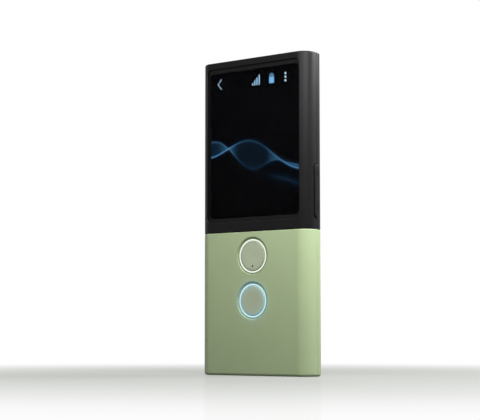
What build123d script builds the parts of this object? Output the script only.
from build123d import *
from math import cos, radians, sin
import os

# Handheld translator: a slim upright unit with a black upper half around the
# screen and a green lower half with two lit talk buttons.
# Millimetres. Front faces -Y, +X is the right side seen from the front, +Z is up.
# The origin is the middle of the bottom face.

# ---- Housing -------------------------------------------------------------
body_width = 52.5
body_depth = 12.0
body_height = 124.0
side_radius = 5.0           # round of the four upright edges
top_round = 0.55            # small round along the top rim
bottom_round = 1.1          # softer round along the bottom rim
wall = 1.3
seam_gap = 0.06             # hairline between two housing pieces
parting_depth = 0.4         # depth of the plane between front and back covers
rim_inset = 0.45            # outer skin left outside the rim tongue
rim_thickness = 0.4
rim_height = 0.6
rim_clearance = 0.05

# ---- Screen --------------------------------------------------------------
active_width = 43.7         # lit picture
active_height = 58.2
window_side_border = 0.65   # dark glass beside the picture
window_end_border = 1.55    # dark glass above and below the picture
window_corner = 1.9
window_top_margin = 2.8     # housing above the window
window_bottom_margin = 4.2  # black housing below the window
window_recess = 0.8         # how far the glass lies below the front face
window_bevel = 0.55
glass_lip = 0.5             # glass hidden behind the window edge
glass_thickness = 0.7
glass_clearance = 0.05
gasket_thickness = 0.2
panel_margin = 1.0          # panel border outside the picture
panel_thickness = 1.2
backlight_inset = 0.2
backlight_thickness = 1.4

# ---- Inner frame and boards ---------------------------------------------
frame_thickness = 0.8
frame_clearance = 0.25
frame_corner = 1.0
board_thickness = 0.8
board_standoff = 0.5
standoff_radius = 1.4
main_board_height = 39.0
main_board_margin = 0.7     # between main board and the inner walls
main_board_corner = 1.2

# ---- Screws --------------------------------------------------------------
screw_shank = 0.55          # radius
screw_head = 1.2            # radius
screw_head_height = 0.5
screw_slot_width = 0.3
screw_slot_depth = 0.25
frame_screw_bite = 1.4      # shank length inside a cover's boss
board_screw_bite = 0.6      # shank length inside the inner frame
thread_clearance = 0.02
hole_clearance = 0.15
boss_radius = 1.4
boss_overlap = 0.3          # boss rooted inside the wall
boss_inset = 4.9            # boss axis from the inner side wall
boss_margin = 0.3
lower_boss_height = 6.0
middle_boss_drop = 5.0      # boss below the green and black junction

# ---- Talk buttons --------------------------------------------------------
upper_button_drop = 9.5     # upper button below the junction
button_spacing = 17.3
ring_radius = 6.7           # outside of the light ring
ring_width = 0.8
ring_proud = 0.1            # ring above the floor of its dish
ring_flange_width = 1.2
ring_flange_thickness = 0.6
ring_clearance = 0.05
dish_margin = 0.65          # dish beyond the ring
dish_depth = 0.5
cap_clearance = 0.12
cap_proud = 0.15            # cap face above the ring
cap_round = 0.25
cap_hollow = 0.12           # finger hollow in the face
cap_hollow_radius = 4.9
cap_flange_overlap = 1.2
cap_flange_thickness = 0.65
cap_stop_gap = 0.05
button_travel = 0.4
switch_gap = 0.05
dome_radius = 2.2
dome_base_radius = 2.9
dome_base_height = 0.2
mic_drop = 4.0              # microphone hole below the upper button's centre
mic_hole_radius = 0.35
mic_width = 3.5
mic_height = 2.6
mic_thickness = 0.75
mic_clearance = 0.35
button_board_width = 24.0
button_board_margin = 8.8   # board beyond the button centres
led_size = 1.0
led_height = 0.5
led_orbit_gap = 0.7         # LED centre outside the ring flange
led_angles = (45, 135, 225, 315)

# ---- Side keys -----------------------------------------------------------
key_depth = 0.2             # middle of the keys along Y
key_width = 3.0
key_proud = 0.45
key_clearance = 0.2
key_round = 0.3
key_flange_margin = 0.4
key_flange_reach = 1.0
key_flange_gap = 0.8
key_flange_thickness = 0.5
key_nub_radius = 0.6
key_nub_length = 0.9
key_switch_gap = 0.25
key_switch_size = 2.4
key_switch_height = 0.6
key_board_thickness = 0.4
key_board_width = 3.2
key_board_margin = 0.6
volume_length = 20.5
volume_rise = 14.6          # rocker's middle above the junction
volume_nub_reach = 7.0      # nubs from the rocker's middle
volume_pivot_radius = 0.5   # round rib that the rocker turns on
volume_pivot_length = 2.4
volume_pivot_gap = 0.05     # rib clear of the switch board
volume_pivot_web = 0.6
volume_grip_reach = 6.4     # sunk grip marks from the rocker's middle
volume_grip_length = 2.0
volume_grip_width = 0.5
volume_grip_depth = 0.15
power_length = 9.0
power_rise = 14.6
power_travel = 0.35
notch_margin = 0.4          # inner frame kept clear of a key

# ---- Battery -------------------------------------------------------------
battery_side_gap = 0.35     # between the pouch and the screw heads
battery_end_gap = 2.7       # between the pouch and the boards above and below
battery_corner = 1.5
battery_edge_round = 0.8
battery_swell_gap = 0.5
adhesive_thickness = 0.15
adhesive_inset = 3.0

# ---- Speaker -------------------------------------------------------------
speaker_drop = 29.7         # middle of the grille below the top
grille_pitch = 2.55
grille_half_rows = 3
grille_half_columns = 5
grille_hole_middle = 0.8    # radius of the middle hole
grille_hole_end = 0.4       # radius of the outermost hole
mesh_margin = 0.9
mesh_thickness = 0.15
speaker_corner = 3.0
speaker_gasket_width = 0.8
speaker_gasket_thickness = 0.35
speaker_cone_inset = 2.6
speaker_cone_depth = 0.5

# ---- Camera and flash ----------------------------------------------------
camera_side = 8.9           # camera axis right of the middle
camera_drop = 12.2
camera_window_radius = 4.25
camera_ledge = 0.7
lens_window_thickness = 0.6
lens_window_clearance = 0.05
camera_module_size = 8.4
camera_module_height = 3.0
camera_barrel_radius = 3.2
camera_barrel_gap = 0.35    # barrel below the window
camera_lens_radius = 1.7
camera_lens_thickness = 0.2
flash_side = -1.35
flash_drop = 12.0
flash_window_radius = 2.0
flash_ledge = 0.45
flash_holder_size = 4.4
flash_led_size = 2.2
flash_led_height = 0.6
flash_led_gap = 0.3         # LED below the cover's inner face

# ---- Other board parts ---------------------------------------------------
can_sheet = 0.2
can_height = 1.6
can_corner = 0.6
chip_height = 0.9
chip_inset = 1.5
processor_can_width = 13.0
processor_can_height = 12.0
processor_can_side = -13.0
processor_can_drop = 10.9   # middle of the can below the board's top
radio_can_width = 6.0
radio_can_height = 16.0
radio_can_side = 18.4
radio_can_gap = 0.2         # can above the screw head
antenna_side_margin = 3.95
antenna_height = 3.6
antenna_thickness = 0.15
antenna_margin = 0.6
flex_thickness = 0.15
flex_width = 6.0
flex_overlap = 3.0
flex_side = -9.0
flex_clearance = 0.2
display_flex_width = 16.0
main_screw_end_inset = 2.6
main_screw_key_gap = 0.3    # screw head beside a key's switch board

# ---- USB socket, motor, lanyard bar --------------------------------------
usb_board_height = 17.5
usb_board_gap = 0.5
usb_board_margin = 3.4
usb_width = 8.94
usb_height = 3.16
usb_length = 7.3
usb_corner = 1.3
usb_sheet = 0.3
usb_mouth_inset = 0.3
usb_opening_clearance = 0.12
usb_tongue_width = 6.6
usb_tongue_thickness = 0.7
usb_tongue_length = 5.6
usb_back_thickness = 1.0
motor_radius = 4.0
motor_thickness = 2.7
motor_side = -12.5
motor_rise = 10.2           # motor's middle above the board's lower edge
lanyard_side = 7.9
lanyard_height = 2.9
lanyard_slot_width = 3.4
lanyard_slot_height = 1.65
lanyard_slot_corner = 0.5
lanyard_pin_radius = 0.4
lanyard_pin_grip = 0.5      # pin end held in the niche wall
lanyard_pin_clearance = 0.02
niche_wall = 0.6
niche_depth = 1.7

# ---- Window and heights of the main features ----------------------------
window_width = active_width + 2 * window_side_border
window_height = active_height + 2 * window_end_border
junction_height = body_height - window_top_margin - window_height - window_bottom_margin
window_centre = body_height - window_top_margin - window_height / 2
upper_button_height = junction_height - upper_button_drop
lower_button_height = upper_button_height - button_spacing
volume_height = junction_height + volume_rise
power_height = junction_height + power_rise
speaker_height = body_height - speaker_drop
camera_height = body_height - camera_drop
flash_height = body_height - flash_drop

# ---- Depths, front to back ----------------------------------------------
front_face = -body_depth / 2
back_face = body_depth / 2
inner_front = front_face + wall
inner_back = back_face - wall
inner_side = body_width / 2 - wall
inner_bottom = wall
inner_top = body_height - wall
glass_front = front_face + window_recess
glass_back = glass_front + glass_thickness
gasket_back = glass_back + gasket_thickness
panel_back = gasket_back + panel_thickness
frame_front = panel_back + backlight_thickness
frame_back = frame_front + frame_thickness
button_board_front = frame_front - board_thickness
main_board_front = frame_back + board_standoff
main_board_back = main_board_front + board_thickness
usb_board_back = frame_back + board_thickness
dish_floor = front_face + dish_depth
ring_front = dish_floor - ring_proud
ring_back = inner_front + ring_flange_thickness
cap_front = ring_front - cap_proud
cap_flange_front = ring_back + cap_stop_gap
cap_back = cap_flange_front + cap_flange_thickness
dome_front = cap_back + button_travel + switch_gap

# ---- Side key stations, outside in --------------------------------------
key_outside = body_width / 2 + key_proud
key_flange_outside = inner_side - key_flange_gap
key_flange_inside = key_flange_outside - key_flange_thickness
key_nub_tip = key_flange_inside - key_nub_length
key_switch_outside = key_nub_tip - key_switch_gap
power_switch_outside = key_nub_tip - power_travel - switch_gap
volume_pivot_side = key_switch_outside - key_switch_height + volume_pivot_gap + volume_pivot_radius
key_board_inside = min(key_switch_outside, power_switch_outside) - key_switch_height - key_board_thickness

# ---- Heights and plan sizes worked out from the above --------------------
upper_boss_height = junction_height + seam_gap + boss_radius + boss_margin
boss_side = inner_side - boss_inset
frame_width = 2 * (inner_side - frame_clearance)
frame_bottom = inner_bottom + frame_clearance
frame_top = inner_top - frame_clearance
main_board_width = 2 * (inner_side - main_board_margin)
main_board_top = inner_top - main_board_margin
main_board_bottom = main_board_top - main_board_height
usb_board_width = 2 * (inner_side - usb_board_margin)
usb_board_bottom = inner_bottom + usb_board_gap
usb_board_top = usb_board_bottom + usb_board_height
glass_width = window_width + 2 * glass_lip
glass_height = window_height + 2 * glass_lip
panel_width = active_width + 2 * panel_margin
panel_height = active_height + 2 * panel_margin
ring_inner = ring_radius - ring_width
ring_flange_radius = ring_radius + ring_flange_width
cap_radius = ring_inner - cap_clearance
cap_flange_radius = ring_inner + cap_flange_overlap
led_orbit = ring_flange_radius + led_orbit_gap
button_board_top = upper_button_height + button_board_margin
button_board_bottom = lower_button_height - button_board_margin
mic_centre = upper_button_height - mic_drop
grille_width = 2 * (grille_half_columns * grille_pitch + grille_hole_middle)
grille_height = 2 * (grille_half_rows * grille_pitch + grille_hole_middle)
mesh_width = grille_width + 2 * mesh_margin
mesh_height = grille_height + 2 * mesh_margin
mesh_front = inner_back - mesh_thickness
speaker_back = mesh_front - speaker_gasket_thickness
lens_seat = back_face - lens_window_thickness
usb_middle = usb_board_back + usb_height / 2
battery_width = 2 * (boss_side - screw_head - battery_side_gap)
battery_bottom = usb_board_top + battery_end_gap
battery_length = main_board_bottom - battery_end_gap - battery_bottom
antenna_width = 2 * (inner_side - antenna_side_margin)
processor_can_centre = main_board_top - processor_can_drop
motor_height = usb_board_bottom + motor_rise
main_screw_side = key_board_inside - screw_head - main_screw_key_gap
main_screw_heights = (main_board_bottom + main_screw_end_inset, main_board_top - main_screw_end_inset)
radio_can_low = main_screw_heights[0] + screw_head + radio_can_gap
radio_can_centre = radio_can_low + radio_can_height / 2
boss_heights = (lower_boss_height, junction_height - middle_boss_drop, upper_boss_height)
frame_screw_places = [(side * boss_side, height) for side in (-1, 1) for height in boss_heights]
main_screw_places = [(side * main_screw_side, height) for side in (-1, 1) for height in main_screw_heights]


# ---- Basic shapes --------------------------------------------------------
def plate(width, height, front, back, side=0.0, centre=0.0, corner=0.0):
    """Upright plate between two depths, facing front, with rounded corners."""
    outline = RectangleRounded(width, height, corner) if corner else Rectangle(width, height)
    return Pos(side, back, centre) * Rot(90, 0, 0) * extrude(outline, back - front)


def disc(radius, front, back, side=0.0, centre=0.0):
    """Round bar along Y between two depths."""
    return Pos(side, (front + back) / 2, centre) * Rot(90, 0, 0) * Cylinder(radius, back - front)


def frame_plate(width, height, border, front, back, side=0.0, centre=0.0, corner=0.0):
    """Flat frame: a plate with an opening inside its border."""
    inner_corner = max(corner - border, 0)
    opening = plate(width - 2 * border, height - 2 * border, front, back, side, centre, inner_corner)
    return plate(width, height, front, back, side, centre, corner) - opening


def span(low, high):
    """Length and middle of a stretch."""
    return high - low, (low + high) / 2


def side_bar(length, width, inside, outside, centre):
    """Round-ended bar across the side wall, long in Z, between two X values."""
    low = min(inside, outside)
    outline = Plane.YZ * Pos(key_depth, centre, low) * SlotOverall(length, width, rotation=90)
    return extrude(outline, abs(outside - inside))


def side_pin(radius, inside, outside, centre):
    """Round pin along X between two X values."""
    length, middle = abs(outside - inside), (inside + outside) / 2
    return Pos(middle, key_depth, centre) * Rot(0, 90, 0) * Cylinder(radius, length)


def screw(side, centre, seat, shank_length):
    """Cross-head screw whose head sits on the given depth and whose shank points to the front."""
    head = disc(screw_head, seat, seat + screw_head_height, side, centre)
    shank = disc(screw_shank, seat - shank_length, seat, side, centre)
    recess_top = seat + screw_head_height
    recess_floor = recess_top - screw_slot_depth
    upright = plate(screw_slot_width, screw_head, recess_floor, recess_top, side, centre)
    level = plate(screw_head, screw_slot_width, recess_floor, recess_top, side, centre)
    return head + shank - upright - level


# ---- Housing pieces ------------------------------------------------------
def housing_shell():
    """The whole closed housing wall before it is parted."""
    outside = extrude(RectangleRounded(body_width, body_depth, side_radius), body_height)
    outside = fillet(outside.edges().group_by(Axis.Z)[-1], top_round)
    outside = fillet(outside.edges().group_by(Axis.Z)[0], bottom_round)
    hollow = RectangleRounded(2 * inner_side, body_depth - 2 * wall, side_radius - wall)
    return outside - Pos(0, 0, inner_bottom) * extrude(hollow, inner_top - inner_bottom)


def quarter(front_side, upper_side):
    """Block that covers one of the four housing pieces, seam gaps left out."""
    seam = seam_gap / 2
    front, back = (front_face, parting_depth - seam) if front_side else (parting_depth + seam, back_face)
    low, high = (junction_height + seam, body_height) if upper_side else (0, junction_height - seam)
    height, centre = span(low, high)
    return plate(body_width, height, front, back, 0, centre)


def rim(clearance):
    """Tongue of the back covers that reaches into the front covers."""
    outer_inset = rim_inset - clearance
    border = rim_thickness + 2 * clearance
    front = parting_depth - rim_height - clearance
    back = parting_depth + seam_gap
    width = body_width - 2 * outer_inset
    height = body_height - 2 * outer_inset
    return frame_plate(width, height, border, front, back, 0, body_height / 2)


def upper_rim(clearance):
    """The stretch of the tongue above the green and black junction."""
    height, centre = span(junction_height + seam_gap / 2 - clearance, body_height)
    return rim(clearance) & plate(body_width, height, front_face, back_face, 0, centre)


def lower_rim(clearance):
    """The stretch of the tongue below the green and black junction."""
    height, centre = span(0, junction_height - seam_gap / 2 + clearance)
    return rim(clearance) & plate(body_width, height, front_face, back_face, 0, centre)


def key_openings():
    """Slots in both side walls for the volume rocker and the power key."""
    width = key_width + 2 * key_clearance
    outside = body_width / 2 + key_proud
    volume = side_bar(volume_length + 2 * key_clearance, width, key_flange_outside, outside, volume_height)
    power = side_bar(power_length + 2 * key_clearance, width, -key_flange_outside, -outside, power_height)
    return volume + power


def boss(side, centre):
    """Screw boss inside a front cover, with its blind hole."""
    return disc(boss_radius, inner_front - boss_overlap, frame_front, side, centre)


def boss_hole(side, centre):
    """Thread hole of a screw boss."""
    radius = screw_shank + thread_clearance
    depth = frame_screw_bite + thread_clearance
    return disc(radius, frame_front - depth, frame_front, side, centre)


def usb_opening():
    """Opening in the bottom wall around the USB socket."""
    width = usb_width + 2 * usb_opening_clearance
    depth = usb_height + 2 * usb_opening_clearance
    outline = Pos(0, usb_middle) * RectangleRounded(width, depth, usb_corner + usb_opening_clearance)
    return extrude(outline, inner_bottom)


def make_front_upper_bezel():
    """Black front frame around the screen."""
    piece = housing_shell() & quarter(True, True)
    piece += [boss(side, height) for side, height in frame_screw_places if height > junction_height]
    aperture = plate(window_width, window_height, front_face, inner_front, 0, window_centre, window_corner)
    bevel_start = front_face + window_bevel
    bevel = loft([
        Plane.XZ.offset(-bevel_start) * Pos(0, window_centre)
        * RectangleRounded(window_width, window_height, window_corner),
        Plane.XZ.offset(-front_face) * Pos(0, window_centre)
        * RectangleRounded(window_width + 2 * window_bevel, window_height + 2 * window_bevel,
                           window_corner + window_bevel),
    ])
    pocket_width = glass_width + 2 * glass_clearance
    pocket_height = glass_height + 2 * glass_clearance
    pocket_corner = window_corner + glass_lip
    pocket = plate(pocket_width, pocket_height, glass_front, frame_front, 0, window_centre, pocket_corner)
    piece = piece - aperture - bevel - pocket - upper_rim(rim_clearance) - key_openings()
    return piece - [boss_hole(side, height) for side, height in frame_screw_places]


def button_dish(centre):
    """Round dish in the front face around a talk button, with a sloped wall."""
    wide = ring_radius + dish_margin
    slope = Cone(wide, wide - dish_depth / 2, dish_depth)
    return Pos(0, (front_face + dish_floor) / 2, centre) * Rot(-90, 0, 0) * slope


def make_front_lower_cover():
    """Green front cover with the two talk button openings."""
    piece = housing_shell() & quarter(True, False)
    piece += [boss(side, height) for side, height in frame_screw_places if height < junction_height]
    for height in (upper_button_height, lower_button_height):
        piece -= button_dish(height)
        piece -= disc(ring_radius + ring_clearance, front_face, inner_front, 0, height)
    piece = piece - lower_rim(rim_clearance) - usb_opening() - key_openings()
    return piece - [boss_hole(side, height) for side, height in frame_screw_places]


def grille_holes():
    """Sound holes: a square grid cut to a hexagon, small at the ends."""
    holes = []
    for row in range(-grille_half_rows, grille_half_rows + 1):
        reach = grille_half_columns - abs(row)
        for column in range(-reach, reach + 1):
            share = abs(column) / grille_half_columns
            radius = grille_hole_middle + (grille_hole_end - grille_hole_middle) * share
            height = speaker_height + row * grille_pitch
            holes.append(disc(radius, inner_back, back_face, column * grille_pitch, height))
    return holes


def window_seat(radius, ledge, side, centre):
    """Stepped hole for a round window that sits flush in the back."""
    seat = disc(radius + lens_window_clearance, lens_seat, back_face, side, centre)
    return seat + disc(radius - ledge, inner_back, lens_seat, side, centre)


def make_back_upper_cover():
    """Black back cover with the speaker grille, camera and flash windows."""
    piece = housing_shell() & quarter(False, True)
    piece = piece + upper_rim(0) - grille_holes() - key_openings()
    piece -= window_seat(camera_window_radius, camera_ledge, camera_side, camera_height)
    return piece - window_seat(flash_window_radius, flash_ledge, flash_side, flash_height)


def lanyard_niche():
    """Walls and hollow of the niche behind the lanyard slot."""
    front = inner_back - niche_depth
    inside_width = lanyard_slot_width
    top = lanyard_height + lanyard_slot_height / 2
    height, centre = span(inner_bottom - boss_overlap, top + niche_wall)
    outside_width = inside_width + 2 * niche_wall
    block = plate(outside_width, height, front - niche_wall, inner_back, lanyard_side, centre)
    inside_height, inside_centre = span(lanyard_height - lanyard_slot_height / 2, top)
    hollow = plate(inside_width, inside_height, front, inner_back, lanyard_side, inside_centre)
    return block, hollow


def lanyard_bar(radius, grip):
    """Upright pin across the niche, just behind the back wall."""
    low = lanyard_height - lanyard_slot_height / 2 - grip
    high = lanyard_height + lanyard_slot_height / 2 + grip
    height, centre = span(low, high)
    depth = inner_back - lanyard_pin_radius - lanyard_pin_clearance
    return Pos(lanyard_side, depth, centre) * Cylinder(radius, height)


def make_back_lower_cover():
    """Green back cover with the lanyard slot and its niche."""
    block, hollow = lanyard_niche()
    slot = plate(lanyard_slot_width, lanyard_slot_height, inner_back, back_face,
                 lanyard_side, lanyard_height, lanyard_slot_corner)
    piece = (housing_shell() & quarter(False, False)) + block + lower_rim(0)
    piece = piece - hollow - slot - usb_opening() - key_openings()
    return piece - lanyard_bar(lanyard_pin_radius + lanyard_pin_clearance, lanyard_pin_grip)


# ---- Screen pieces -------------------------------------------------------
def make_screen_glass():
    """Cover glass, set from behind against the window edge."""
    corner = window_corner + glass_lip
    return plate(glass_width, glass_height, glass_front, glass_back, 0, window_centre, corner)


def make_display_gasket():
    """Thin foam frame between glass and panel, outside the picture."""
    return frame_plate(panel_width, panel_height, panel_margin, glass_back, gasket_back, 0, window_centre)


def make_display_panel():
    """Liquid crystal panel."""
    return plate(panel_width, panel_height, gasket_back, panel_back, 0, window_centre)


def make_backlight():
    """Backlight tray behind the panel, resting on the inner frame."""
    width = panel_width - 2 * backlight_inset
    height = panel_height - 2 * backlight_inset
    return plate(width, height, panel_back, frame_front, 0, window_centre)


def make_display_flex():
    """Flat cable from the backlight's lower edge to the button board."""
    top = window_centre - panel_height / 2 + backlight_inset
    height, centre = span(button_board_top, top)
    return plate(display_flex_width, height, frame_front - flex_thickness, frame_front, 0, centre)


# ---- Inner frame and its boards ------------------------------------------
def key_notch(sign, length, centre):
    """Room in the inner frame and the boards for one side key and its switch board."""
    width, middle = span(key_board_inside, body_width / 2)
    height = length + 2 * (key_flange_reach + notch_margin)
    return plate(width, height, frame_front, main_board_back, sign * middle, centre)


def key_notches():
    """Room for both side keys."""
    return key_notch(1, volume_length, volume_height) + key_notch(-1, power_length, power_height)


def make_mid_frame():
    """Metal inner frame that carries the screen, the boards and the battery."""
    height, centre = span(frame_bottom, frame_top)
    piece = plate(frame_width, height, frame_front, frame_back, 0, centre, frame_corner)
    piece -= key_notches()
    mic_width_cut = mic_width + 2 * mic_clearance
    mic_height_cut = mic_height + 2 * mic_clearance
    piece -= plate(mic_width_cut, mic_height_cut, frame_front, frame_back, 0, mic_centre)
    for side, height in main_screw_places:
        piece += disc(standoff_radius, frame_back, main_board_front, side, height)
    for side, height in main_screw_places:
        piece -= disc(screw_shank + thread_clearance, frame_front, main_board_front, side, height)
    for side, height in frame_screw_places:
        piece -= disc(screw_shank + hole_clearance, frame_front, frame_back, side, height)
    return piece


def make_button_board():
    """Circuit board under the talk buttons, with the sound hole."""
    height, centre = span(button_board_bottom, button_board_top)
    piece = plate(button_board_width, height, button_board_front, frame_front, 0, centre)
    return piece - disc(mic_hole_radius, button_board_front, frame_front, 0, mic_centre)


def make_main_board():
    """Main circuit board in the upper half."""
    height, centre = span(main_board_bottom, main_board_top)
    piece = plate(main_board_width, height, main_board_front, main_board_back, 0, centre, main_board_corner)
    piece -= key_notches()
    radius = screw_shank + hole_clearance
    return piece - [disc(radius, main_board_front, main_board_back, *place) for place in main_screw_places]


def make_usb_board():
    """Small board at the bottom that carries the socket and the motor."""
    height, centre = span(usb_board_bottom, usb_board_top)
    piece = plate(usb_board_width, height, frame_back, usb_board_back, 0, centre)
    radius = screw_head + hole_clearance
    return piece - [disc(radius, frame_back, usb_board_back, *place) for place in frame_screw_places]


def make_board_flex():
    """Flat cable along the inner frame, from the USB board to the main board."""
    top = main_board_bottom + flex_overlap
    height, centre = span(usb_board_top, top)
    strip = plate(flex_width, height, frame_back, frame_back + adhesive_thickness, flex_side, centre)
    plug_height, plug_centre = span(main_board_bottom, top)
    plug = plate(flex_width, plug_height, frame_back, main_board_front, flex_side, plug_centre)
    return strip + plug


def make_frame_screws():
    """Screws that hold the inner frame to the bosses of the front covers."""
    shank = frame_thickness + frame_screw_bite
    return Part() + [screw(*place, frame_back, shank) for place in frame_screw_places]


def make_main_board_screws():
    """Screws that hold the main board to the inner frame's standoffs."""
    shank = board_thickness + board_standoff + board_screw_bite
    return Part() + [screw(*place, main_board_back, shank) for place in main_screw_places]


# ---- Talk button pieces --------------------------------------------------
def make_light_ring(centre):
    """Translucent ring around a talk button, with the flange behind the cover."""
    ring = disc(ring_radius, ring_front, inner_front, 0, centre)
    flange = disc(ring_flange_radius, inner_front, ring_back, 0, centre)
    return ring + flange - disc(ring_inner, ring_front, ring_back, 0, centre)


def make_button_cap(centre):
    """Round talk button cap with a finger hollow and a stop flange."""
    face = disc(cap_radius, cap_front, cap_flange_front, 0, centre)
    face = fillet(face.edges().sort_by(Axis.Y)[0], cap_round)
    ball_radius = (cap_hollow_radius ** 2 + cap_hollow ** 2) / (2 * cap_hollow)
    ball = Pos(0, cap_front + cap_hollow - ball_radius, centre) * Sphere(ball_radius)
    return face - ball + disc(cap_flange_radius, cap_flange_front, cap_back, 0, centre)


def make_upper_button_cap():
    """Upper talk button cap, pierced for the microphone."""
    hole = disc(mic_hole_radius, cap_front, cap_back, 0, mic_centre)
    return make_button_cap(upper_button_height) - hole


def make_button_dome(centre):
    """Snap dome switch under a talk button."""
    base_front = button_board_front - dome_base_height
    base = disc(dome_base_radius, base_front, button_board_front, 0, centre)
    return base + disc(dome_radius, dome_front, base_front, 0, centre)


def make_ring_leds(centre):
    """Small LEDs on the button board around one light ring."""
    leds = []
    for angle in led_angles:
        side = led_orbit * cos(radians(angle))
        height = centre + led_orbit * sin(radians(angle))
        led_front = button_board_front - led_height
        leds.append(plate(led_size, led_size, led_front, button_board_front, side, height))
    return Part() + leds


def make_talk_microphone():
    """Microphone can behind the board's sound hole."""
    return plate(mic_width, mic_height, frame_front, frame_front + mic_thickness, 0, mic_centre)


# ---- Side key pieces -----------------------------------------------------
def key_body(sign, length, centre):
    """Key bar through the side wall with its flange, rounded outside."""
    bar = side_bar(length, key_width, sign * key_flange_outside, sign * key_outside, centre)
    rim_edges = bar.edges().group_by(Axis.X)[-1 if sign > 0 else 0]
    bar = fillet(rim_edges, key_round)
    flange_length = length + 2 * key_flange_reach
    flange_width = key_width + 2 * key_flange_margin
    near, far = sign * key_flange_inside, sign * key_flange_outside
    flange = side_bar(flange_length, flange_width, near, far, centre)
    return bar + flange


def key_board(sign, length, switch_outside, centre):
    """Upright switch board beside the inner frame."""
    outside = switch_outside - key_switch_height
    width, middle = span(outside - key_board_thickness, outside)
    height = length - 2 * key_board_margin
    return Pos(sign * middle, key_depth, centre) * Box(width, key_board_width, height)


def key_switch(sign, switch_outside, centre):
    """Side switch body on its board."""
    width, middle = span(switch_outside - key_switch_height, switch_outside)
    return Pos(sign * middle, key_depth, centre) * Box(width, key_switch_size, key_switch_size)


def make_volume_rocker():
    """Long two-way rocker on the right side."""
    piece = key_body(1, volume_length, volume_height)
    pivot = Pos(volume_pivot_side, key_depth, volume_height) * Rot(90, 0, 0)
    piece += pivot * Cylinder(volume_pivot_radius, volume_pivot_length)
    web_length, web_side = span(volume_pivot_side, key_flange_inside)
    web = Box(web_length, volume_pivot_length, volume_pivot_web)
    piece += Pos(web_side, key_depth, volume_height) * web
    for direction in (-1, 1):
        nub = volume_height + direction * volume_nub_reach
        piece += side_pin(key_nub_radius, key_nub_tip, key_flange_inside, nub)
        grip = volume_height + direction * volume_grip_reach
        mark = Pos(key_outside - volume_grip_depth / 2, key_depth, grip)
        piece -= mark * Box(volume_grip_depth, volume_grip_width, volume_grip_length)
    return piece


def make_volume_switches():
    """The two switches under the rocker's ends."""
    reach = volume_nub_reach
    switches = [key_switch(1, key_switch_outside, volume_height + d * reach) for d in (-1, 1)]
    return Part() + switches


def make_power_key():
    """Short power key on the left side."""
    nub = side_pin(key_nub_radius, -key_nub_tip, -key_flange_inside, power_height)
    return key_body(-1, power_length, power_height) + nub


# ---- Battery and speaker -------------------------------------------------
def make_battery():
    """Flat rechargeable cell glued to the inner frame."""
    centre = battery_bottom + battery_length / 2
    front = frame_back + adhesive_thickness
    back = inner_back - battery_swell_gap
    piece = plate(battery_width, battery_length, front, back, 0, centre, battery_corner)
    return fillet(piece.edges().group_by(Axis.Y)[-1], battery_edge_round)


def make_battery_adhesive():
    """Double-sided tape under the battery."""
    centre = battery_bottom + battery_length / 2
    width = battery_width - 2 * adhesive_inset
    height = battery_length - 2 * adhesive_inset
    back = frame_back + adhesive_thickness
    tape = plate(width, height, frame_back, back, 0, centre)
    return tape - plate(flex_width + 2 * flex_clearance, height, frame_back, back, flex_side, centre)


def make_speaker_driver():
    """Flat speaker seated on the main board, cone towards the back."""
    piece = plate(mesh_width, mesh_height, main_board_back, speaker_back, 0, speaker_height, speaker_corner)
    cone_width = mesh_width - 2 * speaker_cone_inset
    cone_height = mesh_height - 2 * speaker_cone_inset
    cone_corner = speaker_corner
    cone = plate(cone_width, cone_height, speaker_back - speaker_cone_depth, speaker_back,
                 0, speaker_height, cone_corner)
    return piece - cone


def make_speaker_gasket():
    """Foam frame between speaker and mesh."""
    return frame_plate(mesh_width, mesh_height, speaker_gasket_width, speaker_back, mesh_front,
                       0, speaker_height, speaker_corner)


def make_speaker_mesh():
    """Dust mesh against the inside of the grille."""
    return plate(mesh_width, mesh_height, mesh_front, inner_back, 0, speaker_height, speaker_corner)


# ---- Camera and flash pieces ---------------------------------------------
def make_camera_module():
    """Camera block on the main board with its round barrel."""
    block_back = main_board_back + camera_module_height
    block = plate(camera_module_size, camera_module_size, main_board_back, block_back,
                  camera_side, camera_height)
    barrel_back = lens_seat - camera_barrel_gap
    return block + disc(camera_barrel_radius, block_back, barrel_back, camera_side, camera_height)


def make_camera_lens():
    """Front lens on the end of the barrel."""
    front = lens_seat - camera_barrel_gap
    return disc(camera_lens_radius, front, front + camera_lens_thickness, camera_side, camera_height)


def make_lens_window(radius, side, centre):
    """Round window that sits flush in the back."""
    return disc(radius, lens_seat, back_face, side, centre)


def make_flash_holder():
    """Spacer that lifts the flash LED off the main board."""
    back = inner_back - flash_led_gap - flash_led_height
    return plate(flash_holder_size, flash_holder_size, main_board_back, back, flash_side, flash_height)


def make_flash_led():
    """Flash LED under its window."""
    back = inner_back - flash_led_gap
    return plate(flash_led_size, flash_led_size, back - flash_led_height, back, flash_side, flash_height)


# ---- Shield cans, chips, antenna -----------------------------------------
def make_can(width, height, side, centre):
    """Folded sheet can over a chip, open towards the board."""
    back = main_board_back + can_height
    outside = plate(width, height, main_board_back, back, side, centre, can_corner)
    inside_width = width - 2 * can_sheet
    inside_height = height - 2 * can_sheet
    inside_corner = can_corner - can_sheet
    return outside - plate(inside_width, inside_height, main_board_back, back - can_sheet,
                           side, centre, inside_corner)


def make_chip(width, height, side, centre):
    """Chip under a shield can."""
    back = main_board_back + chip_height
    return plate(width - 2 * chip_inset, height - 2 * chip_inset, main_board_back, back, side, centre)


def make_antenna():
    """Printed antenna strip inside the top of the back cover."""
    centre = inner_top - antenna_margin - antenna_height / 2
    return plate(antenna_width, antenna_height, inner_back - antenna_thickness, inner_back, 0, centre)


# ---- USB socket, motor, lanyard bar --------------------------------------
def usb_block(inset, low, high):
    """Upright block with the socket's rounded section, shrunk by an inset."""
    outline = RectangleRounded(usb_width - 2 * inset, usb_height - 2 * inset, usb_corner - inset)
    return Pos(0, usb_middle, low) * extrude(outline, high - low)


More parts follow.
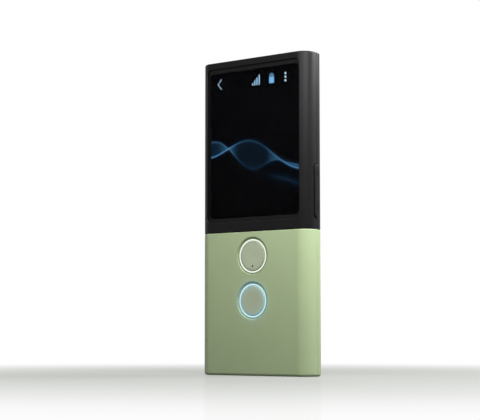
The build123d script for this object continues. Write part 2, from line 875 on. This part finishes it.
def make_usb_shell():
    """Metal shell of the USB socket, open at the bottom."""
    top = usb_mouth_inset + usb_length
    return usb_block(0, usb_mouth_inset, top) - usb_block(usb_sheet, usb_mouth_inset, top)


def make_usb_tongue():
    """Contact tongue on its back block inside the shell."""
    top = usb_mouth_inset + usb_length
    block = usb_block(usb_sheet, top - usb_back_thickness, top)
    low = top - usb_back_thickness - usb_tongue_length
    centre = low + usb_tongue_length / 2
    tongue = Pos(0, usb_middle, centre) * Box(usb_tongue_width, usb_tongue_thickness, usb_tongue_length)
    return block + tongue


def make_vibration_motor():
    """Coin motor on the USB board."""
    return disc(motor_radius, usb_board_back, usb_board_back + motor_thickness, motor_side, motor_height)


# ---- All nodes -----------------------------------------------------------
def all_nodes():
    """Every sub-part by its node name."""
    processor = (processor_can_width, processor_can_height, processor_can_side, processor_can_centre)
    radio = (radio_can_width, radio_can_height, radio_can_side, radio_can_centre)
    volume_board = (1, volume_length, key_switch_outside, volume_height)
    power_board = (-1, power_length, power_switch_outside, power_height)
    return {
        "front_upper_bezel": make_front_upper_bezel(),
        "front_lower_cover": make_front_lower_cover(),
        "back_upper_cover": make_back_upper_cover(),
        "back_lower_cover": make_back_lower_cover(),
        "screen_glass": make_screen_glass(),
        "display_gasket": make_display_gasket(),
        "display_panel": make_display_panel(),
        "display_backlight": make_backlight(),
        "display_flex": make_display_flex(),
        "mid_frame": make_mid_frame(),
        "frame_screws": make_frame_screws(),
        "button_board": make_button_board(),
        "upper_light_ring": make_light_ring(upper_button_height),
        "lower_light_ring": make_light_ring(lower_button_height),
        "upper_button_cap": make_upper_button_cap(),
        "lower_button_cap": make_button_cap(lower_button_height),
        "upper_button_dome": make_button_dome(upper_button_height),
        "lower_button_dome": make_button_dome(lower_button_height),
        "upper_ring_leds": make_ring_leds(upper_button_height),
        "lower_ring_leds": make_ring_leds(lower_button_height),
        "talk_microphone": make_talk_microphone(),
        "volume_rocker": make_volume_rocker(),
        "volume_switch_board": key_board(*volume_board),
        "volume_switches": make_volume_switches(),
        "power_key": make_power_key(),
        "power_switch_board": key_board(*power_board),
        "power_switch": key_switch(-1, power_switch_outside, power_height),
        "main_board": make_main_board(),
        "main_board_screws": make_main_board_screws(),
        "processor_can": make_can(*processor),
        "processor_chip": make_chip(*processor),
        "radio_can": make_can(*radio),
        "radio_chip": make_chip(*radio),
        "antenna": make_antenna(),
        "board_flex": make_board_flex(),
        "battery": make_battery(),
        "battery_adhesive": make_battery_adhesive(),
        "speaker_driver": make_speaker_driver(),
        "speaker_gasket": make_speaker_gasket(),
        "speaker_mesh": make_speaker_mesh(),
        "camera_module": make_camera_module(),
        "camera_lens": make_camera_lens(),
        "camera_window": make_lens_window(camera_window_radius, camera_side, camera_height),
        "flash_holder": make_flash_holder(),
        "flash_led": make_flash_led(),
        "flash_window": make_lens_window(flash_window_radius, flash_side, flash_height),
        "usb_board": make_usb_board(),
        "usb_shell": make_usb_shell(),
        "usb_tongue": make_usb_tongue(),
        "vibration_motor": make_vibration_motor(),
        "lanyard_pin": lanyard_bar(lanyard_pin_radius, lanyard_pin_grip),
    }


os.makedirs("parts", exist_ok=True)
for node, solid in all_nodes().items():
    export_step(solid, f"parts/{node}.step")
